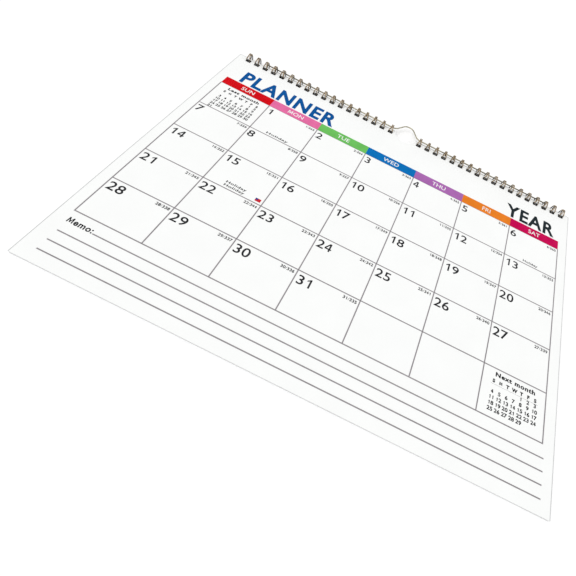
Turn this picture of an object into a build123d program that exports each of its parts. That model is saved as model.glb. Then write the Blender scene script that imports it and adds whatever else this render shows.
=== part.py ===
from build123d import *
import os
from math import asin, cos, degrees, radians, sin, sqrt

# Wall calendar: month sheets on a back card, bound along the top edge by two combs of twin wire
# loops, with a wire hanger that runs inside the loops and rises to a hump over a thumb notch.
# It lies on its back: X runs along the binding, Y towards it, Z up out of the printed face.

# Sheets and back card
page_width = 335.0
page_height = 257.0
sheet_count = 12
sheet_thickness = 0.1
card_thickness = 0.4
sheets_looseness = 0.3

# Punched holes and the thumb notch in the top edge; the whole binding sits a little to the right
binding_shift = 1.1
hole_width = 4.7
hole_height = 4.0
hole_pitch = 25.4 / 3
hole_margin = 2.2
notch_radius = 9.5

# Twin wire loops
comb_gap = 28.6
comb_end_margin = 9.0
ring_diameter = 7.9
loop_wire = 0.9
loop_spread = 2.2
strip_clearance = 0.15
spine_angle = -60.0
end_bar_angle = 13.0
ring_facets = 13

# Hanger
hanger_wire = 1.0
hanger_play = 0.05
hanger_end_loop = 3
hanger_overhang = 1.6
turning_gap = 0.3
hump_height = 11.3
hump_foot = 22.0
hump_top = 6.6
hump_bend = 6.0

# Turning of the sheets: how far their axis lies from the middle of the rings
turning_shift = 0.3
turning_lift = 0.15

# Print on the front sheet, placed from the sheet's edges
print_thickness = 0.06
columns = 7
rows = 5
side_margin = 8.25
head_margin = 37.5
foot_margin = 40.5
band_height = 9.7
rule_width = 0.5
note_rule_count = 4
note_rule_foot = 8.7
note_rule_pitch = 7.67
note_rule_start = 10.4
note_rule_end = 7.0
note_label_width = 16.9

# Rings: the wire's outer and inner circles, seen along the binding
ring_radius = ring_diameter / 2
ring_inner_radius = ring_radius - loop_wire
ring_z = ring_radius

# Stack: its strip between the holes and the top edge sits as low in the rings as the wire lets it
sheets_thickness = sheet_count * sheet_thickness
strip_drop = sqrt((ring_inner_radius - strip_clearance) ** 2 - (hole_margin / 2) ** 2)
card_z = ring_z - strip_drop
sheets_z = card_z + card_thickness + sheets_looseness
face_z = sheets_z + sheets_thickness

# Hanger: it touches the inside of the rings, as high as the sheets leave room for once turned over
hanger_orbit = ring_inner_radius - hanger_wire / 2 - hanger_play
turned_face_rise = (ring_z - face_z) + 2 * turning_lift
hanger_rise = turned_face_rise - turning_gap - hanger_wire / 2
hanger_angle = degrees(asin(hanger_rise / hanger_orbit))
hanger_reach = hanger_orbit * cos(radians(hanger_angle))

# Places along Y, with the whole calendar centred on the origin
reach_past_edge = hanger_reach - hole_margin / 2 + hump_height + hanger_wire / 2
page_y = -reach_past_edge / 2
top_edge = page_y + page_height / 2
left_edge = -page_width / 2
ring_y = top_edge - hole_margin / 2
hole_y = top_edge - hole_margin - hole_height / 2
hanger_y = ring_y + hanger_reach
hanger_z = ring_z + hanger_rise
comb_room = page_width / 2 - comb_gap / 2 - comb_end_margin
loops_per_comb = int(comb_room / hole_pitch) + 1
comb_length = (loops_per_comb - 1) * hole_pitch
comb_centre = comb_gap / 2 + comb_length / 2
hanger_half_length = comb_gap / 2 + (loops_per_comb - hanger_end_loop) * hole_pitch + hanger_overhang

# Places of the print
bottom_edge = top_edge - page_height
grid_width = page_width - 2 * side_margin
grid_height = page_height - head_margin - band_height - foot_margin
column_pitch = grid_width / columns
row_pitch = grid_height / rows
grid_left = left_edge + side_margin
grid_top = top_edge - head_margin - band_height


def punched_leaf(base_z, thickness):
    """A leaf the size of the page, with the row of holes for each comb and the thumb notch."""
    with BuildPart() as leaf:
        with BuildSketch(Plane.XY.offset(base_z)):
            with Locations((0, page_y)):
                Rectangle(page_width, page_height)
            with Locations((binding_shift - comb_centre, hole_y), (binding_shift + comb_centre, hole_y)):
                with GridLocations(hole_pitch, 0, loops_per_comb, 1):
                    Rectangle(hole_width, hole_height, mode=Mode.SUBTRACT)
            with Locations((binding_shift, top_edge)):
                Circle(notch_radius, mode=Mode.SUBTRACT)
        extrude(amount=thickness)
    return leaf.part


# The wire leaves the spine at its end bar, passes over the top and through the hole to the ring's
# lowest point, and turns back in a closed tip just short of the spine.
lowest_angle = 270.0
spine_end_angle = spine_angle + end_bar_angle
facet_angle = (lowest_angle - spine_end_angle) / ring_facets
arc_angles = [spine_end_angle + facet_angle * i for i in range(ring_facets + 1)]
spine_angles = [spine_angle, spine_end_angle]
tip_angles = [lowest_angle, lowest_angle + end_bar_angle]
hairpin_angles = [spine_angle] + arc_angles + [lowest_angle + end_bar_angle]

# The inner facets touch the true inner circle, so what the ring holds keeps its clearance
inner_corner = ring_inner_radius / cos(radians(facet_angle / 2))


def ring_sector(angles):
    """Outline of a piece of the ring's wire between the first and the last of the angles."""
    outer = [(ring_y + ring_radius * cos(radians(a)), ring_z + ring_radius * sin(radians(a))) for a in angles]
    inner = [(ring_y + inner_corner * cos(radians(a)), ring_z + inner_corner * sin(radians(a)))
             for a in reversed(angles)]
    return outer + inner


# One hairpin loop bent into a ring, its two wires joined by the closed tip
with BuildPart() as hairpin:
    for side in (-1, 1):
        with BuildSketch(Plane.YZ.offset(side * loop_spread / 2 - loop_wire / 2)):
            Polygon(*ring_sector(hairpin_angles), align=None)
    extrude(amount=loop_wire)
    with BuildSketch(Plane.YZ.offset(-loop_spread / 2)):
        Polygon(*ring_sector(tip_angles), align=None)
    extrude(amount=loop_spread)

# Spine bar that joins a loop's foot to the next loop's
with BuildPart() as spine_bar:
    with BuildSketch(Plane.YZ.offset(loop_spread / 2)):
        Polygon(*ring_sector(spine_angles), align=None)
    extrude(amount=hole_pitch - loop_spread)

# Back card and month sheets
back_card = punched_leaf(card_z, card_thickness)
back_card.label = "back_card"

month_sheets = punched_leaf(sheets_z, sheets_thickness)
month_sheets.label = "month_sheets"

# Binding combs, left and right of the notch
nearest_loop = binding_shift - comb_gap / 2
loop_places = [(nearest_loop - hole_pitch * i, 0, 0) for i in reversed(range(loops_per_comb))]
with BuildPart() as left_wire_comb:
    with Locations(*loop_places):
        add(hairpin.part)
    with Locations(*loop_places[:-1]):
        add(spine_bar.part)
left_wire_comb.part.label = "left_wire_comb"

with BuildPart() as right_wire_comb:
    mirror(left_wire_comb.part, about=Plane.YZ.offset(binding_shift))
right_wire_comb.part.label = "right_wire_comb"

# Hanger: straight wire inside the loops, with a bell-shaped hump over the notch
with BuildPart() as hanger:
    with BuildLine(Plane(origin=(binding_shift, 0, hanger_z))) as hanger_path:
        FilletPolyline(
            (-hanger_half_length, hanger_y),
            (-hump_foot / 2, hanger_y),
            (-hump_top / 2, hanger_y + hump_height),
            (hump_top / 2, hanger_y + hump_height),
            (hump_foot / 2, hanger_y),
            (hanger_half_length, hanger_y),
            radius=hump_bend,
        )
    hanger_end = (binding_shift - hanger_half_length, hanger_y, hanger_z)
    with BuildSketch(Plane(origin=hanger_end, x_dir=(0, 1, 0), z_dir=(1, 0, 0))):
        RegularPolygon(hanger_wire / 2, 8)
    sweep()
hanger.part.label = "hanger"

# Coloured band over each weekday's column
weekday_bands = []
for column in range(columns):
    with BuildPart() as band:
        with BuildSketch(Plane.XY.offset(face_z)):
            with Locations((grid_left + column_pitch * (column + 0.5), grid_top + band_height / 2)):
                Rectangle(column_pitch, band_height)
        extrude(amount=print_thickness)
    band.part.label = f"weekday_band_{column + 1}"
    weekday_bands.append(band.part)

# Ruled grid of the days
with BuildPart() as day_grid:
    with BuildSketch(Plane.XY.offset(face_z)):
        with Locations((0, grid_top - grid_height / 2 - rule_width / 4)):
            Rectangle(grid_width + rule_width, grid_height + rule_width / 2)
        with Locations((0, grid_top - grid_height / 2)):
            with GridLocations(column_pitch, row_pitch, columns, rows):
                Rectangle(column_pitch - rule_width, row_pitch - rule_width, mode=Mode.SUBTRACT)
    extrude(amount=print_thickness)
day_grid.part.label = "day_grid"

# Rules to write notes on, the first one shorter to leave room for its label
note_rules = []
for line in range(note_rule_count):
    start_x = left_edge + note_rule_start + (note_label_width if line == 0 else 0)
    end_x = -left_edge - note_rule_end
    rule_y = bottom_edge + note_rule_foot + note_rule_pitch * (note_rule_count - 1 - line)
    with BuildPart() as note_rule:
        with BuildSketch(Plane.XY.offset(face_z)):
            with Locations(((start_x + end_x) / 2, rule_y)):
                Rectangle(end_x - start_x, rule_width)
        extrude(amount=print_thickness)
    note_rule.part.label = f"note_rule_{line + 1}"
    note_rules.append(note_rule.part)

os.makedirs("parts", exist_ok=True)
wires = [left_wire_comb.part, right_wire_comb.part, hanger.part]
for piece in [back_card, month_sheets, *wires, day_grid.part, *weekday_bands, *note_rules]:
    export_step(piece, f"parts/{piece.label}.step")

print("face height", round(face_z, 3), "card height", round(card_z, 3))
print("ring axis y", round(ring_y, 4), "z", round(ring_z, 4))
print("turning axis y", round(ring_y + turning_shift, 4), "z", round(ring_z + turning_lift, 4))
print("hanger axis y", round(hanger_y, 4), "z", round(hanger_z, 4), "angle", round(hanger_angle, 2))
print("top edge y", round(top_edge, 4), "page centre y", round(page_y, 4))
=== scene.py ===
import random
from math import atan, cos, degrees, pi, radians, sin

import bmesh
import bpy
from mathutils import Matrix, Vector


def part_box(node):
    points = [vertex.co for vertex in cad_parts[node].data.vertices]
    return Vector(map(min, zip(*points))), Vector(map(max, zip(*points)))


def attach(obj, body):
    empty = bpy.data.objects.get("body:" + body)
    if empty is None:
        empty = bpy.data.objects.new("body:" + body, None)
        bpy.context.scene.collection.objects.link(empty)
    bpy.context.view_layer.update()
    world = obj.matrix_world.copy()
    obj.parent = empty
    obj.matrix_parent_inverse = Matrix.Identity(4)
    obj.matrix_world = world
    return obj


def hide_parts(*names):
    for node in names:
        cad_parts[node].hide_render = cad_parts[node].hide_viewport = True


# Looks of the wall calendar: single sheets with punched holes, round wire, and the print of the
# front sheet. Everything is in metres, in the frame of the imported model.
MM = 0.001

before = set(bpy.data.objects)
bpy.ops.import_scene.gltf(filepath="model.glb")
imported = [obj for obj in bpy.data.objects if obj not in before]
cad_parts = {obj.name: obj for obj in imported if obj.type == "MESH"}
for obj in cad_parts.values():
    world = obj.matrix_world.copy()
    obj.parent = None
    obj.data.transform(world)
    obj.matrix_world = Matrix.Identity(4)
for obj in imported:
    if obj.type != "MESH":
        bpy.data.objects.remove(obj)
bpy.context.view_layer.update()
dice = random.Random(7)

# Places read from the frame
sheets_low, sheets_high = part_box("month_sheets")
card_low, card_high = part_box("back_card")
left_comb_low, left_comb_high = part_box("left_wire_comb")
right_comb_low, right_comb_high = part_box("right_wire_comb")
hanger_low, hanger_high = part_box("hanger")
grid_low, grid_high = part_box("day_grid")
first_band_low, first_band_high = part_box("weekday_band_1")
first_note_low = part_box("note_rule_1")[0]

page_left = sheets_low.x
page_top = sheets_high.y
face_z = sheets_high.z

# Wire loops, punched holes and hanger, at the sizes of the frame
loop_wire = 0.9 * MM
loop_spread = 2.2 * MM
hole_pitch = 25.4 / 3 * MM
hole_width = 4.7 * MM
hole_height = 4.0 * MM
hole_margin = 2.2 * MM
hole_corner = 0.5 * MM
notch_radius = 9.5 * MM
hump_foot = 22.0 * MM
hump_top = 6.6 * MM
hump_bend = 6.0 * MM
hanger_wire = hanger_high.z - hanger_low.z
comb_gap = right_comb_low.x - left_comb_high.x + loop_spread + loop_wire
binding_middle = (right_comb_low.x + left_comb_high.x) / 2
loops_per_comb = round((right_comb_high.x - right_comb_low.x - loop_spread - loop_wire) / hole_pitch) + 1
ring_radius = (left_comb_high.z - left_comb_low.z) / 2
ring_y = page_top - hole_margin / 2
ring_z = left_comb_low.z + ring_radius
wire_orbit = ring_radius - loop_wire / 2

# Print, placed from the day grid's own box and the page's edges
rule_width = 0.5 * MM
rule_spread = 0.25 * MM
note_rule_count = 4
columns = 7
rows = 5
print_gap = 0.012 * MM
grid_left = grid_low.x + rule_width / 2
grid_top = first_band_low.y
band_height = first_band_high.y - first_band_low.y
column_pitch = (grid_high.x - grid_low.x - rule_width) / columns
row_pitch = (grid_top - grid_low.y - rule_width / 2) / rows
band_top_z = first_band_high.z

# Type: a size is the height of capitals or figures, and a weight says how much bolder than the
# built-in type it is, as the distance that its outline is moved out at size 1
month_size = 15.5 * MM
month_weight = 0.036
year_size = 14.3 * MM
year_weight = 0.03
weekday_size = 4.3 * MM
weekday_weight = 0.006
number_size = 7.1 * MM
number_weight = 0.012
number_stretch = 1.07
count_size = 2.3 * MM
count_weight = 0.03
small_title_size = 2.9 * MM
small_title_weight = 0.045
initial_size = 2.3 * MM
initial_weight = 0.06
small_number_size = 2.5 * MM
small_number_weight = 0.036
label_size = 4.0 * MM
label_weight = 0.03
free_word_size = 2.1 * MM
free_word_weight = 0.024

# Headings over the grid: baseline, left ends and widths
heading_baseline = page_top - 35.3 * MM
month_left = page_left + 18.2 * MM
month_width = 90 * MM
year_left = page_left + 275.6 * MM
year_width = 46.6 * MM

# Day cells: how far the numbers stand in from the left and the counts from the right, and how far
# below the cell's top their baselines are
number_inset = 1.9 * MM
number_drop = 9.75 * MM
count_inset = 1.7 * MM
count_drop = 4.0 * MM

# Small months: places from the left and top of their cell
small_title_width = 28.6 * MM
small_title_drop = 5.4 * MM
initial_drop = 10.2 * MM
small_number_drop = 14.0 * MM
small_column_inset = 8.5 * MM
small_column_pitch = 4.95 * MM
small_row_pitch = 3.87 * MM
underline_drop = 11.4 * MM
underline_width = 0.12 * MM
underline_overhang = 2 * MM

# Note label, and the words at the foot of free days: each day, its lines and their width
label_left = page_left + 9.6 * MM
free_word_rise = 2.0 * MM
free_word_pitch = 3.3 * MM
free_word_lines = ((1, 1, 19 * MM), (6, 1, 13 * MM), (15, 2, 16 * MM))

# Marker, its inset from the right and the foot of its day's cell, and the field in its corner
marker_day = 15
marker_inset = 2.0 * MM
marker_width = 4.3 * MM
marker_height = 3.0 * MM
marker_corner_width = 1.9 * MM
marker_corner_height = 1.6 * MM

# The month shown: its first day's cell, its days, and the days of its year
first_cell = 1
days_in_month = 31
days_in_year = 366


def srgb(red, green, blue):
    """A colour given in 0 to 255 screen values, as Blender's linear colour."""
    linear = [((c / 255 + 0.055) / 1.055) ** 2.4 if c > 10 else c / 255 / 12.92 for c in (red, green, blue)]
    return (*linear, 1.0)


# Shader groups

def new_group(name, inputs, outputs):
    """An empty shader group with number inputs and outputs, and its two end nodes."""
    group = bpy.data.node_groups.new(name, "ShaderNodeTree")
    for label, value in inputs.items():
        socket = group.interface.new_socket(label, in_out="INPUT", socket_type="NodeSocketFloat")
        socket.default_value = value
    for label in outputs:
        group.interface.new_socket(label, in_out="OUTPUT", socket_type="NodeSocketFloat")
    return group, group.nodes.new("NodeGroupInput"), group.nodes.new("NodeGroupOutput")


def add_noise(group, scale, detail, stretch=(1, 1, 1)):
    """Noise over the object's own coordinates, drawn out by the stretch."""
    place = group.nodes.new("ShaderNodeTexCoord")
    mapping = group.nodes.new("ShaderNodeMapping")
    mapping.inputs["Scale"].default_value = stretch
    noise = group.nodes.new("ShaderNodeTexNoise")
    noise.inputs["Detail"].default_value = detail
    group.links.new(place.outputs["Object"], mapping.inputs["Vector"])
    group.links.new(mapping.outputs["Vector"], noise.inputs["Vector"])
    group.links.new(scale, noise.inputs["Scale"])
    return noise.outputs["Fac"]


def add_math(group, operation, first, second):
    """A Math node on two sockets or numbers."""
    node = group.nodes.new("ShaderNodeMath")
    node.operation = operation
    for socket, value in zip(node.inputs, (first, second)):
        if isinstance(value, (int, float)):
            socket.default_value = value
        else:
            group.links.new(value, socket)
    return node.outputs["Value"]


def add_range(group, value, low, high, to_low, to_high):
    """A Map Range node with a smooth step."""
    node = group.nodes.new("ShaderNodeMapRange")
    node.interpolation_type = "SMOOTHSTEP"
    group.links.new(value, node.inputs["Value"])
    limits = zip(("From Min", "From Max", "To Min", "To Max"), (low, high, to_low, to_high))
    for label, limit in limits:
        if isinstance(limit, (int, float)):
            node.inputs[label].default_value = limit
        else:
            group.links.new(limit, node.inputs[label])
    return node.outputs["Result"]


def make_fibre_group():
    """Paper: fine crossing fibres for the relief, and slow clouds for the tone."""
    inputs = {"Fibre Scale": 2200.0, "Cloud Scale": 45.0, "Contrast": 0.5}
    group, given, result = new_group("paper fibres", inputs, ("Tone", "Relief"))
    along = add_noise(group, given.outputs["Fibre Scale"], 4.0, (1, 0.35, 1))
    across = add_noise(group, given.outputs["Fibre Scale"], 4.0, (0.35, 1, 1))
    clouds = add_noise(group, given.outputs["Cloud Scale"], 3.0)
    relief = add_math(group, "MULTIPLY", add_math(group, "ADD", along, across), 0.5)
    halves = [add_math(group, "MULTIPLY", part, 0.5) for part in (relief, clouds)]
    grain = add_math(group, "ADD", *halves)
    reach = add_math(group, "MULTIPLY", given.outputs["Contrast"], 0.4)
    low = add_math(group, "SUBTRACT", 0.5, reach)
    high = add_math(group, "ADD", 0.5, reach)
    group.links.new(add_range(group, grain, low, high, 0.0, 1.0), result.inputs["Tone"])
    group.links.new(relief, result.inputs["Relief"])
    return group


def make_ink_group():
    """Printed ink: where the paper's grain shows through it, and how evenly it lies."""
    inputs = {"Speckle Scale": 5200.0, "Speckle": 0.3, "Mottle Scale": 160.0}
    group, given, result = new_group("ink lay", inputs, ("Thin Spots", "Density"))
    speckle = add_noise(group, given.outputs["Speckle Scale"], 2.0)
    mottle = add_noise(group, given.outputs["Mottle Scale"], 4.0)
    spots = add_range(group, speckle, 0.6, 0.82, 0.0, 1.0)
    thin = add_math(group, "MULTIPLY", spots, given.outputs["Speckle"])
    group.links.new(thin, result.inputs["Thin Spots"])
    group.links.new(add_range(group, mottle, 0.3, 0.7, 0.0, 1.0), result.inputs["Density"])
    return group


def make_drawn_wire_group():
    """Coated wire: tone that drifts along the wire, rubbed bright spots and fine die lines."""
    inputs = {"Drift Scale": 420.0, "Rub Scale": 900.0, "Rub": 0.5}
    group, given, result = new_group("drawn wire", inputs, ("Drift", "Rubbed", "Relief"))
    drift = add_noise(group, given.outputs["Drift Scale"], 3.0)
    rub = add_noise(group, given.outputs["Rub Scale"], 5.0)
    lines = add_noise(group, given.outputs["Rub Scale"], 3.0, (0.4, 3.0, 3.0))
    rubbed = add_range(group, rub, 0.52, 0.68, 0.0, 1.0)
    group.links.new(add_range(group, drift, 0.3, 0.7, 0.0, 1.0), result.inputs["Drift"])
    group.links.new(add_math(group, "MULTIPLY", rubbed, given.outputs["Rub"]), result.inputs["Rubbed"])
    group.links.new(lines, result.inputs["Relief"])
    return group


paper_fibres = make_fibre_group()
ink_lay = make_ink_group()
drawn_wire = make_drawn_wire_group()


# Materials

def new_material(name):
    """A material with its Principled shader."""
    material = bpy.data.materials.new(name)
    material.use_nodes = True
    return material, material.node_tree, material.node_tree.nodes["Principled BSDF"]


def place_group(tree, group, **values):
    """A group placed in a material with its own values; spaces in labels are underscores here."""
    node = tree.nodes.new("ShaderNodeGroup")
    node.node_tree = group
    for label, value in values.items():
        node.inputs[label.replace("_", " ")].default_value = value
    return node


def colour_socket(sockets, label):
    """The colour socket of that name among a Mix node's sockets, which share their names."""
    return [s for s in sockets if s.name == label and s.type == "RGBA"][0]


def mix_tones(tree, factor, first, second):
    """A colour between two colours or colour sockets, by a mask."""
    node = tree.nodes.new("ShaderNodeMix")
    node.data_type = "RGBA"
    tree.links.new(factor, node.inputs[0])
    for label, value in (("A", first), ("B", second)):
        socket = colour_socket(node.inputs, label)
        if isinstance(value, tuple):
            socket.default_value = value
        else:
            tree.links.new(value, socket)
    return colour_socket(node.outputs, "Result")


def add_relief(tree, shader, height, strength, depth):
    """Fine relief through a Bump node."""
    bump = tree.nodes.new("ShaderNodeBump")
    bump.inputs["Strength"].default_value = strength
    bump.inputs["Distance"].default_value = depth
    tree.links.new(height, bump.inputs["Height"])
    tree.links.new(bump.outputs["Normal"], shader.inputs["Normal"])


def ranged(tree, value, low, high):
    """A 0 to 1 value spread between two numbers."""
    return add_range(tree, value, 0.0, 1.0, low, high)


def mark_background(tree):
    """A mask that is 1 where the camera sees a surface straight, mirrored or through glass."""
    seen = tree.nodes.new("ShaderNodeLightPath")
    either = add_math(tree, "MAXIMUM", seen.outputs["Is Camera Ray"], seen.outputs["Is Glossy Ray"])
    return add_math(tree, "MAXIMUM", either, seen.outputs["Is Transmission Ray"])


# Finishes: roughness from the smoothest to the roughest spots, specular level, and depth of relief
paper_roughness = (0.62, 0.78)
paper_specular = 0.25
paper_relief = 0.02 * MM
ink_specular = 0.03
ink_roughness_spread = 0.12
ink_relief_strength = 0.25
thick_ink_tone = 0.9
wire_roughness = (0.3, 0.42)
wire_metallic = 0.92
wire_rub = 0.4
wire_relief = 0.01 * MM
wire_relief_strength = 0.2


def paper_material(name, light, dark, fibre_scale, contrast, relief):
    """Uncoated paper or board: fibres, faint clouds, nearly no gloss."""
    material, tree, shader = new_material(name)
    fibres = place_group(tree, paper_fibres, Fibre_Scale=fibre_scale, Contrast=contrast)
    tree.links.new(mix_tones(tree, fibres.outputs["Tone"], dark, light), shader.inputs["Base Color"])
    tree.links.new(ranged(tree, fibres.outputs["Tone"], *paper_roughness), shader.inputs["Roughness"])
    shader.inputs["Specular IOR Level"].default_value = paper_specular
    add_relief(tree, shader, fibres.outputs["Relief"], relief, paper_relief)
    return material


def ink_material(name, colour, speckle, smoothest=0.5):
    """Offset ink on that paper: slightly uneven, with the grain showing through here and there."""
    material, tree, shader = new_material(name)
    lay = place_group(tree, ink_lay, Speckle=speckle)
    fibres = place_group(tree, paper_fibres, Contrast=0.6)
    thicker = tuple(c * thick_ink_tone for c in colour[:3]) + (1.0,)
    inked = mix_tones(tree, lay.outputs["Density"], thicker, colour)
    shown = mix_tones(tree, lay.outputs["Thin Spots"], inked, paper_white)
    tree.links.new(shown, shader.inputs["Base Color"])
    roughness = ranged(tree, lay.outputs["Density"], smoothest + ink_roughness_spread, smoothest)
    tree.links.new(roughness, shader.inputs["Roughness"])
    shader.inputs["Specular IOR Level"].default_value = ink_specular
    add_relief(tree, shader, fibres.outputs["Relief"], ink_relief_strength, paper_relief)
    return material


def wire_material(name, coat, deep, bright, shade_below=0.0):
    """Bronze-coloured coated wire, rubbed bright where it is handled, with painted shade below a height."""
    material, tree, shader = new_material(name)
    finish = place_group(tree, drawn_wire, Rub=wire_rub)
    coated = mix_tones(tree, finish.outputs["Drift"], deep, coat)
    rubbed = mix_tones(tree, finish.outputs["Rubbed"], coated, bright)
    place = tree.nodes.new("ShaderNodeTexCoord")
    split = tree.nodes.new("ShaderNodeSeparateXYZ")
    tree.links.new(place.outputs["Object"], split.inputs["Vector"])
    # Mask of the painted shade, full below the height and fading out above it
    wire_shade_mask = add_range(tree, split.outputs["Z"], shade_below, shade_below + wire_shade_fade, 1.0, 0.0)
    tree.links.new(mix_tones(tree, wire_shade_mask, rubbed, painted_shade_wire), shader.inputs["Base Color"])
    roughness = ranged(tree, finish.outputs["Drift"], *wire_roughness)
    tree.links.new(roughness, shader.inputs["Roughness"])
    shader.inputs["Metallic"].default_value = wire_metallic
    add_relief(tree, shader, finish.outputs["Relief"], wire_relief_strength, wire_relief)
    return material


paper_white = srgb(251, 252, 251)
sheet_face = paper_material("sheet_face", paper_white, srgb(248, 249, 248), 2200.0, 0.5, 0.25)
sheet_edge = paper_material("sheet_edge", srgb(225, 226, 229), srgb(195, 196, 201), 3600.0, 0.8, 0.5)
# Painted shade: near-black hole walls stand for the shade inside the punched holes
painted_hole_shade = paper_material("painted_hole_shade", srgb(26, 24, 22), srgb(12, 11, 10), 3600.0, 0.8, 0.5)
board_face = paper_material("board_face", srgb(232, 231, 227), srgb(221, 219, 213), 1300.0, 0.9, 0.5)
board_edge = paper_material("board_edge", srgb(204, 204, 208), srgb(178, 178, 184), 2600.0, 0.9, 0.7)

# Painted shade: below a height just over the front sheet, where it dips into the holes, the loop wire
# darkens to this colour
painted_shade_wire = srgb(36, 33, 30)
wire_shade_start = face_z + 0.2 * MM
wire_shade_fade = 2.0 * MM
loop_tones = (srgb(162, 142, 114), srgb(108, 92, 73), srgb(212, 193, 162))
hanger_tones = (srgb(178, 171, 148), srgb(136, 131, 112), srgb(210, 205, 186))
loop_bronze = wire_material("loop_bronze", *loop_tones, wire_shade_start)
hanger_bronze = wire_material("hanger_bronze", *hanger_tones)

# Painted shade: a hair of grey along the cut edges, and the hanger's shadow along the top edge
edge_shade = ink_material("edge_shade", srgb(206, 207, 207), 0.2)
hanger_shadow_edge = ink_material("hanger_shadow_edge", srgb(146, 146, 138), 0.3)

grid_ink = ink_material("grid_ink", srgb(132, 127, 130), 0.05)
soft_ink = ink_material("soft_ink", srgb(205, 202, 204), 0.05)
number_ink = ink_material("number_ink", srgb(44, 44, 47), 0.05)
small_ink = ink_material("small_ink", srgb(28, 28, 31), 0.05)
faint_ink = ink_material("faint_ink", srgb(40, 40, 44), 0.05)
month_ink = ink_material("month_ink", srgb(0, 84, 155), 0.04)
year_ink = ink_material("year_ink", srgb(30, 40, 45), 0.04)
reversed_white = ink_material("reversed_white", paper_white, 0.0, 0.6)
marker_red = ink_material("marker_red", srgb(205, 40, 50), 0.2)
marker_blue = ink_material("marker_blue", srgb(35, 60, 140), 0.2)
band_colours = (
    srgb(214, 2, 18),
    srgb(232, 112, 166),
    srgb(110, 194, 95),
    srgb(0, 112, 186),
    srgb(172, 106, 178),
    srgb(236, 130, 36),
    srgb(200, 0, 82),
)


# Mesh helpers

def new_piece(name, mesh, body):
    """A mesh object that rides on a body and takes its finish from a slot."""
    piece = bpy.data.objects.new(name, mesh)
    bpy.context.scene.collection.objects.link(piece)
    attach(piece, body)
    return piece


def rounded_path(corners, radius, steps):
    """A path through corner points, with each inner corner rounded to the radius."""
    corners = [Vector(c) for c in corners]
    path = [corners[0]]
    for before, corner, after in zip(corners, corners[1:], corners[2:]):
        back = (before - corner).normalized()
        ahead = (after - corner).normalized()
        half = back.angle(ahead) / 2
        middle = corner + (back + ahead).normalized() * (radius / sin(half))
        reach = radius / sin(half) * cos(half)
        start = corner + back * reach - middle
        end = corner + ahead * reach - middle
        for step in range(steps + 1):
            path.append(middle + start.slerp(end, step / steps).normalized() * radius)
    path.append(corners[-1])
    return path


def sweep_wire(path, wire, sides):
    """Round wire along a path, closed at its two ends."""
    tube = bmesh.new()
    radius = wire / 2
    ahead = (path[1] - path[0]).normalized()
    up = ahead.orthogonal().normalized()
    rings = []
    count = len(path)
    for i, point in enumerate(path):
        tangent = (path[min(i + 1, count - 1)] - path[max(i - 1, 0)]).normalized()
        up = ahead.rotation_difference(tangent) @ up
        ahead = tangent
        side = ahead.cross(up)
        turns = [2 * pi * k / sides for k in range(sides)]
        rings.append([tube.verts.new(point + (up * cos(t) + side * sin(t)) * radius) for t in turns])
    for ring, following in zip(rings, rings[1:]):
        for k in range(sides):
            n = (k + 1) % sides
            tube.faces.new((ring[k], ring[n], following[n], following[k])).smooth = True
    for ring in (rings[0], rings[-1]):
        tube.faces.new(ring)
    bmesh.ops.recalc_face_normals(tube, faces=tube.faces)
    mesh = bpy.data.meshes.new("swept wire")
    tube.to_mesh(mesh)
    tube.free()
    return mesh


def curve_outline(curve, points):
    """Adds one closed outline to a flat curve."""
    outline = curve.splines.new("POLY")
    outline.points.add(len(points) - 1)
    for slot, point in zip(outline.points, points):
        slot.co = (point[0], point[1], 0, 1)
    outline.use_cyclic_u = True


def mesh_of(curve_object):
    """The mesh that a curve or text object gives."""
    bpy.context.view_layer.update()
    evaluated = curve_object.evaluated_get(bpy.context.evaluated_depsgraph_get())
    return bpy.data.meshes.new_from_object(evaluated)


# Sheets and board: how far the leaves lie out of register, what is trimmed off the edges of the
# front sheet, of those behind it and of the board, and each sheet's share of air below it
leaf_play = 0.14 * MM
front_trim = 0.02 * MM
sheet_trim = 0.18 * MM
board_trim = 0.01 * MM
air_share = 0.14
sheet_count = 12
notch_steps = 28
hole_corner_steps = 3

# Walls: how level a face's normal is on an upright one, how far it may point to the top edge on one that
# gets painted shade, and how far past the holes' ends such walls are looked for
upright_tilt = 0.5
shaded_wall_tilt = 0.3
hole_slack = 0.3 * MM


def comb_places():
    """X places of all the loops, left comb first."""
    near = [comb_gap / 2 + hole_pitch * i for i in range(loops_per_comb)]
    return [binding_middle - x for x in reversed(near)] + [binding_middle + x for x in near]


def leaf_border(inset, shift):
    """A leaf's outer border, with the thumb notch in its top edge."""
    left = sheets_low.x + inset + shift.x
    right = sheets_high.x - inset + shift.x
    low = sheets_low.y + inset + shift.y
    top = sheets_high.y - inset + shift.y
    half_turn = [pi + pi * k / notch_steps for k in range(notch_steps + 1)]
    notch_middle = binding_middle + shift.x
    notch = [(notch_middle + notch_radius * cos(a), top + notch_radius * sin(a)) for a in half_turn]
    return [(left, low), (left, top)] + notch + [(right, top), (right, low)]


def hole_border(x, shift):
    """A punched hole with slightly round corners."""
    middle = Vector((x + shift.x, page_top - hole_margin - hole_height / 2 + shift.y))
    reach_x = hole_width / 2 - hole_corner
    reach_y = hole_height / 2 - hole_corner
    points = []
    for quarter, (side_x, side_y) in enumerate(((1, 1), (-1, 1), (-1, -1), (1, -1))):
        corner_middle = middle + Vector((side_x * reach_x, side_y * reach_y))
        for step in range(hole_corner_steps + 1):
            angle = pi / 2 * (quarter + step / hole_corner_steps)
            points.append(corner_middle + Vector((cos(angle), sin(angle))) * hole_corner)
    return points


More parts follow.
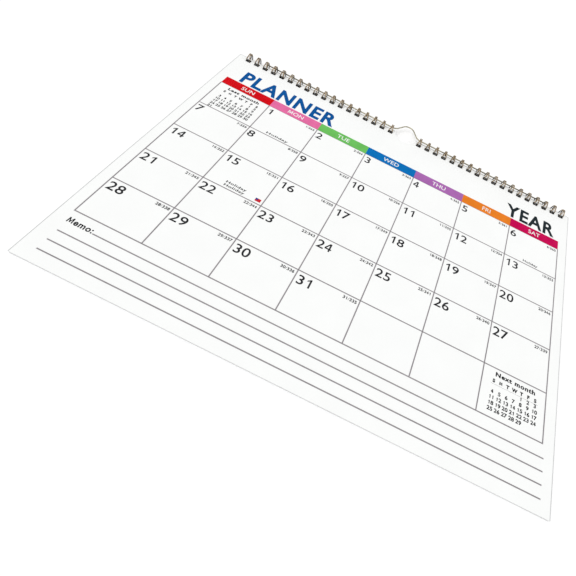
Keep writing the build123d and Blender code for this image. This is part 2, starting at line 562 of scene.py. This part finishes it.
def leaf_mesh(inset, border_shift, hole_shift, low, thickness):
    """One leaf: solid, punched and notched, lying from its low height up."""
    curve = bpy.data.curves.new("leaf outline", "CURVE")
    curve.dimensions = "2D"
    curve.fill_mode = "BOTH"
    curve.extrude = thickness / 2
    curve_outline(curve, leaf_border(inset, border_shift))
    for x in comb_places():
        curve_outline(curve, hole_border(x, hole_shift))
    draft = bpy.data.objects.new("leaf draft", curve)
    bpy.context.scene.collection.objects.link(draft)
    mesh = mesh_of(draft)
    mesh.transform(Matrix.Translation((0, 0, low + thickness / 2)))
    bpy.data.objects.remove(draft)
    bpy.data.curves.remove(curve)
    return mesh


def dress_leaf(mesh, face, edge, hole_shade):
    """Gives a leaf the finishes of its flat sides and its edge, and painted shade on its hole walls."""
    for material in (face, edge, hole_shade):
        mesh.materials.append(material)
    hole_low = page_top - hole_margin - hole_height - hole_slack
    hole_high = page_top - hole_margin + hole_slack
    outer_hole = comb_gap / 2 + hole_pitch * loops_per_comb
    for polygon in mesh.polygons:
        place = polygon.center
        upright = abs(polygon.normal.z) < upright_tilt
        in_row = hole_low < place.y < hole_high
        # Upright walls in the hole row get the painted shade of the holes
        shaded_wall = upright and polygon.normal.y < shaded_wall_tilt
        in_hole = shaded_wall and in_row and notch_radius < abs(place.x - binding_middle) < outer_hole
        polygon.material_index = 2 if in_hole else 1 if upright else 0
        polygon.use_smooth = False


def join_meshes(name, meshes):
    """One mesh out of several with the same material slots."""
    joined = bmesh.new()
    for mesh in meshes:
        joined.from_mesh(mesh)
    result = bpy.data.meshes.new(name)
    for material in meshes[0].materials:
        result.materials.append(material)
    joined.to_mesh(result)
    joined.free()
    return result


def build_sheets():
    """The year's sheets, each a hair out of register with its neighbours."""
    pitch = (sheets_high.z - sheets_low.z) / sheet_count
    leaves = []
    for number in range(sheet_count):
        front = number == sheet_count - 1
        play = 0.0 if front else leaf_play
        border_shift = Vector((dice.uniform(-play, play), dice.uniform(-play, play)))
        hole_shift = Vector((dice.uniform(-1, 1), dice.uniform(-1, 1))) * play * 0.5
        trim = front_trim if front else sheet_trim
        low = sheets_low.z + pitch * (number + air_share)
        mesh = leaf_mesh(trim, border_shift, hole_shift, low, pitch * (1 - air_share))
        dress_leaf(mesh, sheet_face, sheet_edge, painted_hole_shade)
        leaves.append(mesh)
    piece = new_piece("sheet_stack", join_meshes("sheet stack", leaves), "sheets")
    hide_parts("month_sheets")


def build_board():
    """The backing board, punched with the sheets."""
    still = Vector((0, 0))
    mesh = leaf_mesh(board_trim, still, still, card_low.z, card_high.z - card_low.z)
    dress_leaf(mesh, board_face, board_edge, painted_hole_shade)
    piece = new_piece("backing_board", mesh, "binding")
    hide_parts("back_card")


# Wire loops: angles round the ring in degrees from level on the far side, up and over, and beside
# them half the distance between a loop's two wires in mm. The tip is as wide as the last of these.
spine_turn = -53.5
tip_turn = 283.0
bell_shape = ((spine_turn, 1.1), (10.0, 0.6), (110.0, 0.62), (188.0, 1.75), (262.0, 1.0))
spine_angle = radians(spine_turn)
tip_angle = radians(tip_turn)
tip_half = bell_shape[-1][1] * MM

# Bend at a loop's foot, how far loops lean, and into how many steps each stretch is divided
foot_bend = 0.6 * MM
loop_lean = 0.07 * MM
foot_steps = 4
leg_steps = 44
tip_steps = 8


def bell_half_width(angle):
    """Half the distance between a loop's two wires, which spread towards the hole."""
    turn = degrees(angle)
    for (start, near), (end, far) in zip(bell_shape, bell_shape[1:]):
        if turn <= end:
            share = max(0.0, (turn - start) / (end - start))
            return (near + (far - near) * (1 - cos(pi * share)) / 2) * MM
    return tip_half


def rolled(x, angle):
    """A point on the ring's round path, from its place along the binding and its angle."""
    return Vector((x, ring_y + wire_orbit * cos(angle), ring_z + wire_orbit * sin(angle)))


def loop_path(x, lean):
    """One hairpin loop: up from the spine, over the top, through the hole to its tip and back."""
    leg_start = spine_angle + foot_bend / wire_orbit
    leg_end = tip_angle - (loop_wire / 2 + tip_half) / wire_orbit
    foot_x = x - bell_half_width(spine_angle) - foot_bend
    up = []
    for k in range(foot_steps):
        turn = pi / 2 * k / foot_steps
        climb = foot_bend * (1 - cos(turn)) / wire_orbit
        up.append(rolled(foot_x + foot_bend * sin(turn), spine_angle + climb))
    angles = [leg_start + (leg_end - leg_start) * k / leg_steps for k in range(leg_steps + 1)]
    leg = [rolled(x - bell_half_width(a) + lean * sin(a / 2), a) for a in angles]
    tip_x = x + lean * sin(leg_end / 2)
    tip = []
    for k in range(1, tip_steps):
        turn = pi * k / tip_steps
        tip.append(rolled(tip_x - tip_half * cos(turn), leg_end + tip_half * sin(turn) / wire_orbit))
    leg_back = [rolled(x + bell_half_width(a) + lean * sin(a / 2), a) for a in reversed(angles)]
    down = [Vector((2 * x - p.x, p.y, p.z)) for p in reversed(up)]
    return up + leg + tip + leg_back + down


def build_comb(name, places, node):
    """One comb: a single wire bent into all its loops, with the spine between them."""
    path = []
    for x in places:
        path += loop_path(x, dice.uniform(-loop_lean, loop_lean))
    mesh = sweep_wire(path[foot_steps:-foot_steps], loop_wire, sides=10)
    mesh.materials.append(loop_bronze)
    piece = new_piece(name, mesh, "binding")
    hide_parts(node)


def build_hanger():
    """Round wire with the bell-shaped hump, at the bends of the frame's hanger."""
    middle_y = hanger_low.y + hanger_wire / 2
    hump_y = hanger_high.y - hanger_wire / 2
    height = (hanger_low.z + hanger_high.z) / 2
    half_length = (hanger_high.x - hanger_low.x) / 2
    left_bends = [(-half_length, middle_y), (-hump_foot / 2, middle_y), (-hump_top / 2, hump_y)]
    bends = left_bends + [(-x, y) for x, y in reversed(left_bends)]
    corners = [(binding_middle + x, y, height) for x, y in bends]
    mesh = sweep_wire(rounded_path(corners, hump_bend, steps=12), hanger_wire, sides=16)
    mesh.materials.append(hanger_bronze)
    piece = new_piece("hanging_wire", mesh, "hanger")
    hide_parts("hanger")


# Print: widths and places inside a letter or figure are in parts of its height, and bolder letters
# stand further apart
letter_room = 3.4


def letter_outline(text, weight):
    """Flat mesh of a line of the built-in type at size 1."""
    curve = bpy.data.curves.new("type", "FONT")
    curve.body = text
    curve.offset = weight
    curve.space_character = 1.0 + weight * letter_room
    curve.resolution_u = 4
    curve.fill_mode = "FRONT"
    draft = bpy.data.objects.new("type draft", curve)
    bpy.context.scene.collection.objects.link(draft)
    mesh = mesh_of(draft)
    bpy.data.objects.remove(draft)
    bpy.data.curves.remove(curve)
    return mesh


def drawn_shape(*outlines):
    """Flat mesh of closed outlines that touch but don't overlap."""
    drawn = bmesh.new()
    for points in outlines:
        drawn.faces.new([drawn.verts.new((x, y, 0)) for x, y in points])
    mesh = bpy.data.meshes.new("drawn shape")
    drawn.to_mesh(mesh)
    drawn.free()
    return mesh


def type_size(letter):
    """Width and height of a letter in the built-in type at size 1."""
    corners = [v.co for v in letter_outline(letter, 0.0).vertices]
    across = [corner.x for corner in corners]
    return max(across) - min(across), max(corner.y for corner in corners)


capital_size = 1 / type_size("H")[1]
figure_size = 1 / type_size("2")[1]
widest_figure = type_size("0")[0]

# The drawn letter M, because the built-in one breaks when it is made bolder
m_half_width = 0.49
m_leg = 0.14
m_gap = 0.13


def bold_m(weight):
    """The letter M with splayed sides and sharp inner corners, one unit high."""
    leg = m_leg + weight * capital_size
    right = [(leg * 0.4, 0.1), (0.43 - leg, 0.66), (m_half_width - leg, 0.0), (m_half_width, 0.0)]
    right += [(0.42, 1.0), (0.4 - leg, 1.0)]
    left = [(-x, y) for x, y in reversed(right)]
    outline = right + [(0.0, 0.42)] + left
    return drawn_shape([(x + m_half_width, y) for x, y in outline])


def word_shape(text, weight):
    """A word with its capitals one unit high; an M at its start is the drawn one."""
    if not text.startswith("M"):
        mesh = letter_outline(text, weight)
        mesh.transform(Matrix.Diagonal((capital_size, capital_size, 1, 1)))
        return mesh
    word = bmesh.new()
    word.from_mesh(bold_m(weight))
    if len(text) > 1:
        rest = letter_outline(text[1:], weight)
        low = min(v.co.x for v in rest.vertices) * capital_size
        place = Matrix.Translation((2 * m_half_width + m_gap - low, 0, 0))
        rest.transform(place @ Matrix.Diagonal((capital_size, capital_size, 1, 1)))
        word.from_mesh(rest)
    mesh = bpy.data.meshes.new("word")
    word.to_mesh(mesh)
    word.free()
    return mesh


# How wide each figure's place is, the widest figure in it, and the stroke
figure_place = 0.8
slash_place = 0.45
figure_width = 0.68
figure_stroke = 0.13


def figure_shape(figure, weight):
    """A figure one unit high in its place: one, four and slash are drawn, the others built-in type."""
    stroke = figure_stroke + 2 * weight * figure_size
    if figure == "1":
        top = 0.56
        stem = top - stroke
        flag = ((top, 1), (top - 0.1, 1), (0.17, 0.78), (0.17, 0.8 - stroke), (stem, 0.79))
        return drawn_shape(((stem, 0), (top, 0)) + flag)
    if figure == "4":
        bar_low = 0.22
        bar_top = bar_low + stroke - 0.01
        stem_end = 0.61
        stem = stem_end - stroke
        right = ((stem, 0), (stem_end, 0), (stem_end, bar_low), (0.72, bar_low), (0.72, bar_top))
        right += ((stem_end, bar_top), (stem_end, 1), (stem, 1))
        left = ((0.06, bar_low), (stem, bar_low), (stem, bar_top), (0.05 + stroke, bar_top), (stem, 0.78))
        left += ((stem, 1), (stem - 0.02, 1), (0.06, bar_top + 0.02))
        return drawn_shape(right, left)
    if figure == "/":
        return drawn_shape(((0.04, 0), (0.16, 0), (0.42, 1), (0.3, 1)))
    mesh = letter_outline(figure, weight)
    low = min(v.co.x for v in mesh.vertices)
    high = max(v.co.x for v in mesh.vertices)
    slide = Matrix.Translation((-(low + high) / 2, 0, 0))
    wide = widest_figure * figure_size
    grow = Matrix.Diagonal((figure_size * figure_width / wide, figure_size, 1, 1))
    mesh.transform(Matrix.Translation((figure_place / 2, 0, 0)) @ grow @ slide)
    return mesh


class Printing:
    """Lines of type in one ink, gathered into one piece of print on the front sheet."""

    def __init__(self, ink, height=face_z + print_gap):
        self.ink = ink
        self.height = height
        self.gathered = bmesh.new()

    def line(self, text, x, y, size, align="left", weight=0.0, width=None):
        """Sets a line with its capitals that high, starting at x, centred on it or ending at it."""
        mesh = word_shape(text, weight)
        low = min(v.co.x for v in mesh.vertices) * size
        high = max(v.co.x for v in mesh.vertices) * size
        stretch = width / (high - low) if width else 1.0
        anchor = {"left": low, "centre": (low + high) / 2, "right": high}[align] * stretch
        place = Matrix.Translation((x - anchor, y, self.height))
        mesh.transform(place @ Matrix.Diagonal((size * stretch, size, 1, 1)))
        self.gathered.from_mesh(mesh)
        bpy.data.meshes.remove(mesh)

    def figures(self, text, x, y, size, align, weight, stretch=1.0):
        """Sets a number with its figures that high, each in a place of the same width."""
        wide = size * stretch
        places = [slash_place if figure == "/" else figure_place for figure in text]
        bearing = (figure_place - figure_width) / 2
        start = {"left": -bearing, "centre": -sum(places) / 2, "right": bearing - sum(places)}[align]
        for figure, place in zip(text, places):
            mesh = figure_shape(figure, weight)
            shift = Matrix.Translation((x + start * wide, y, self.height))
            mesh.transform(shift @ Matrix.Diagonal((wide, size, 1, 1)))
            self.gathered.from_mesh(mesh)
            bpy.data.meshes.remove(mesh)
            start += place

    def bar(self, left, low, right, high):
        """Adds a plain printed bar."""
        corners = ((left, low), (right, low), (right, high), (left, high))
        self.gathered.faces.new([self.gathered.verts.new((x, y, self.height)) for x, y in corners])

    def finish(self, name):
        """Makes the piece."""
        mesh = bpy.data.meshes.new(name)
        self.gathered.to_mesh(mesh)
        self.gathered.free()
        mesh.materials.append(self.ink)
        return new_piece(name, mesh, "sheets")


def cell_corner(cell):
    """Left and top of a day cell, counted from the first cell along the rows."""
    column = cell % columns
    row = cell // columns
    return grid_left + column_pitch * column, grid_top - row_pitch * row


def print_headings():
    """Month and year over the grid."""
    month = Printing(month_ink)
    month.line("PLANNER", month_left, heading_baseline, month_size, weight=month_weight, width=month_width)
    month.finish("month_heading")
    year = Printing(year_ink)
    year.line("YEAR", year_left, heading_baseline, year_size, weight=year_weight, width=year_width)
    year.finish("year_heading")


def print_weekdays():
    """Weekday names in white on the bands."""
    names = Printing(reversed_white, band_top_z + print_gap)
    baseline = grid_top + (band_height - weekday_size) / 2
    for column, name in enumerate(("SUN", "MON", "TUE", "WED", "THU", "FRI", "SAT")):
        middle = grid_left + column_pitch * (column + 0.5)
        names.line(name, middle, baseline, weekday_size, "centre", weekday_weight)
    names.finish("weekday_names")


def print_days():
    """Day numbers, and the small count of days gone and left."""
    numbers = Printing(number_ink)
    counts = Printing(faint_ink)
    for day in range(1, days_in_month + 1):
        left, top = cell_corner(first_cell + day - 1)
        place = (left + number_inset, top - number_drop, number_size)
        numbers.figures(str(day), *place, "left", number_weight, number_stretch)
        count = f"{day}/{days_in_year - day}"
        place = (left + column_pitch - count_inset, top - count_drop, count_size)
        counts.figures(count, *place, "right", count_weight)
    numbers.finish("day_numbers")
    counts.finish("day_counts")


def print_small_month(title, cell, lead, days, underline):
    """A small month in a free cell; lead is how many places its first row leaves free."""
    left, top = cell_corner(cell)
    column_middles = [left + small_column_inset + small_column_pitch * c for c in range(columns)]
    middle = column_middles[columns // 2]
    heading = Printing(small_ink)
    place = (middle, top - small_title_drop, small_title_size)
    heading.line(title, *place, "centre", small_title_weight, width=small_title_width)
    for x, initial in zip(column_middles, "SMTWTFS"):
        heading.line(initial, x, top - initial_drop, initial_size, "centre", initial_weight)
    heading.finish(f"small_month_heading_{cell}")
    numbers = Printing(small_ink)
    for day in range(1, days + 1):
        row, column = divmod(lead + day - 1, columns)
        y = top - small_number_drop - small_row_pitch * row
        place = (column_middles[column], y, small_number_size)
        numbers.figures(str(day), *place, "centre", small_number_weight)
    if underline:
        low = top - underline_drop
        start = column_middles[0] - underline_overhang
        numbers.bar(start, low, column_middles[-1] + underline_overhang, low + underline_width)
    numbers.finish(f"small_month_numbers_{cell}")


def print_notes():
    """Label of the note rules, and the small words at the foot of the free days."""
    label = Printing(small_ink)
    label.line("Memo:", label_left, first_note_low.y, label_size, weight=label_weight)
    label.finish("note_label")
    words = Printing(small_ink)
    for day, lines, width in free_word_lines:
        left, top = cell_corner(first_cell + day - 1)
        middle = left + column_pitch / 2
        for line in range(lines):
            baseline = top - row_pitch + free_word_rise + free_word_pitch * line
            place = (middle, baseline, free_word_size)
            words.line("Holiday", *place, "centre", free_word_weight, width=width)
    words.finish("free_day_words")


def print_marker():
    """A small two-coloured marker in the third row."""
    cell_left, cell_top = cell_corner(first_cell + marker_day - 1)
    right = cell_left + column_pitch - marker_inset
    left = right - marker_width
    low = cell_top - row_pitch + marker_inset
    top = low + marker_height
    field = Printing(marker_red)
    field.bar(left, low, right, top)
    field.finish("marker_field")
    corner = Printing(marker_blue, face_z + 2 * print_gap)
    corner.bar(left, top - marker_corner_height, left + marker_corner_width, top)
    corner.finish("marker_corner")


# Width of the shade along cut edges, and of the painted shadow of the hanger along the top edge, which
# starts beside the notch
shade_width = 0.5 * MM
hanger_shadow_width = 0.6 * MM
hanger_shadow_start = notch_radius + 1 * MM


def shade_cut_edges():
    """The painted hair of shade along the front sheet's cut edges, and the hanger's painted shadow along
    the top edge.
    """
    low = sheets_low.y
    right = sheets_high.x
    edges = Printing(edge_shade)
    hanger_shadows = Printing(hanger_shadow_edge)
    edges.bar(page_left, low, page_left + shade_width, page_top)
    edges.bar(right - shade_width, low, right, page_top)
    edges.bar(page_left + shade_width, page_top - shade_width, hanger_low.x, page_top)
    # Painted shadow of the hanger on the top edge, on both sides of the notch
    hanger_shadows.bar(hanger_low.x, page_top - hanger_shadow_width, binding_middle - hanger_shadow_start, page_top)
    edges.bar(hanger_high.x, page_top - shade_width, right - shade_width, page_top)
    hanger_shadows.bar(binding_middle + hanger_shadow_start, page_top - hanger_shadow_width, hanger_high.x, page_top)
    edges.finish("cut_edges")
    hanger_shadows.finish("hanger_shadow_edge")


def spread_rules():
    """The soft edge of the rules, where their ink has spread a little into the paper."""
    soft = Printing(soft_ink)
    half = rule_width / 2 + rule_spread
    foot = grid_top - row_pitch * rows
    for column in range(columns + 1):
        x = grid_left + column_pitch * column
        soft.bar(x - half, foot - half, x + half, grid_top)
    for row in range(1, rows + 1):
        y = grid_top - row_pitch * row
        for column in range(columns):
            left = grid_left + column_pitch * column
            soft.bar(left + half, y - half, left + column_pitch - half, y + half)
    for line in range(note_rule_count):
        low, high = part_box(f"note_rule_{line + 1}")
        soft.bar(low.x - rule_spread, low.y - rule_spread, high.x + rule_spread, high.y + rule_spread)
    soft.finish("rule_edges")


def ink_frame_prints():
    """Inks on the frame's own bands and rules."""
    for column, colour in enumerate(band_colours):
        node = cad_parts[f"weekday_band_{column + 1}"]
        node.material_slots[0].material = ink_material(f"band_ink_{column + 1}", colour, 0.04)
    rules = ["day_grid"] + [f"note_rule_{i + 1}" for i in range(note_rule_count)]
    for name in rules:
        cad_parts[name].material_slots[0].material = grid_ink


build_sheets()
build_board()
places = comb_places()
build_comb("left_loops", places[:loops_per_comb], "left_wire_comb")
build_comb("right_loops", places[loops_per_comb:], "right_wire_comb")
build_hanger()
ink_frame_prints()
spread_rules()
print_headings()
print_weekdays()
print_days()
print_small_month("Last month", cell=0, lead=5, days=31, underline=False)
print_small_month("Next month", cell=34, lead=4, days=29, underline=True)
print_notes()
print_marker()
shade_cut_edges()


# Floor and light: the floor's size and grey, its white as a background, how far it lies below the
# loops, and the strength of the surround on the object
floor_half = 3.0
floor_grey = (0.8, 0.8, 0.8, 1)
floor_seen = (1.04, 1.04, 1.04, 1)
floor_gap = 0.02 * MM
surround_strength = 0.7
lamp_strength = 1.25
lamp_spread = radians(50)
lamp_tilt = (radians(28), radians(-24), 0)


def build_floor():
    """Pale floor under the loops and the board's foot edge; seen straight, the white background."""
    corners = [(x * floor_half, y * floor_half, 0) for x, y in ((-1, -1), (1, -1), (1, 1), (-1, 1))]
    floor_mesh = bpy.data.meshes.new("floor")
    floor_mesh.from_pydata(corners, [], [(0, 1, 2, 3)])
    floor = bpy.data.objects.new("floor", floor_mesh)
    rise = card_low.z - left_comb_low.z
    floor.rotation_euler.x = -atan(rise / (ring_y - card_low.y))
    floor.location = (0, ring_y, left_comb_low.z - floor_gap)
    bpy.context.scene.collection.objects.link(floor)
    material, tree, shader = new_material("floor_white")
    tone = mix_tones(tree, mark_background(tree), floor_grey, floor_seen)
    tree.links.new(tone, shader.inputs["Base Color"])
    shader.inputs["Roughness"].default_value = 1.0
    shader.inputs["Specular IOR Level"].default_value = 0.0
    floor_mesh.materials.append(material)


def light_scene():
    """Even studio light: a pale surround and one wide soft lamp."""
    world = bpy.data.worlds.new("studio")
    bpy.context.scene.world = world
    world.use_nodes = True
    tree = world.node_tree
    background = tree.nodes["Background"]
    background.inputs["Color"].default_value = (1, 1, 1, 1)
    strength = ranged(tree, mark_background(tree), surround_strength, 1.0)
    tree.links.new(strength, background.inputs["Strength"])
    lamp = bpy.data.lights.new("soft_lamp", "SUN")
    lamp.energy = lamp_strength
    lamp.angle = lamp_spread
    holder = bpy.data.objects.new("soft_lamp", lamp)
    holder.rotation_euler = lamp_tilt
    bpy.context.scene.collection.objects.link(holder)


# Camera, fitted to the page's four corners in the photograph: its place from the page's centre, the
# direction it looks in, how it is turned about that, its focal length in mm and the picture's shift
camera_place = Vector((0.9, -181.4, 194.2)) * MM
camera_forward = Vector((0, 0.4975, -0.8675))
camera_right_level = 0.8948
camera_right_rise = 0.4465
camera_lens = 22.05
camera_shift = (-0.0578, 0.0288)


def place_camera():
    """Camera at the photograph's viewing angle."""
    page_centre = Vector((0, (sheets_low.y + sheets_high.y) / 2, face_z))
    camera = bpy.data.cameras.new("camera")
    camera.sensor_width = 36.0
    camera.lens = camera_lens
    camera.shift_x, camera.shift_y = camera_shift
    camera.clip_start = 0.01
    holder = bpy.data.objects.new("camera", camera)
    level_up = Vector((0, -camera_forward.z, camera_forward.y))
    right = Vector((camera_right_level, 0, 0)) + camera_right_rise * level_up
    up = camera_forward.cross(right) * -1
    turn = Matrix((right, up, -camera_forward)).transposed().to_4x4()
    holder.matrix_world = Matrix.Translation(page_centre + camera_place) @ turn
    bpy.context.scene.collection.objects.link(holder)
    bpy.context.scene.camera = holder


build_floor()
light_scene()
place_camera()
bpy.context.scene.view_settings.view_transform = "Standard"
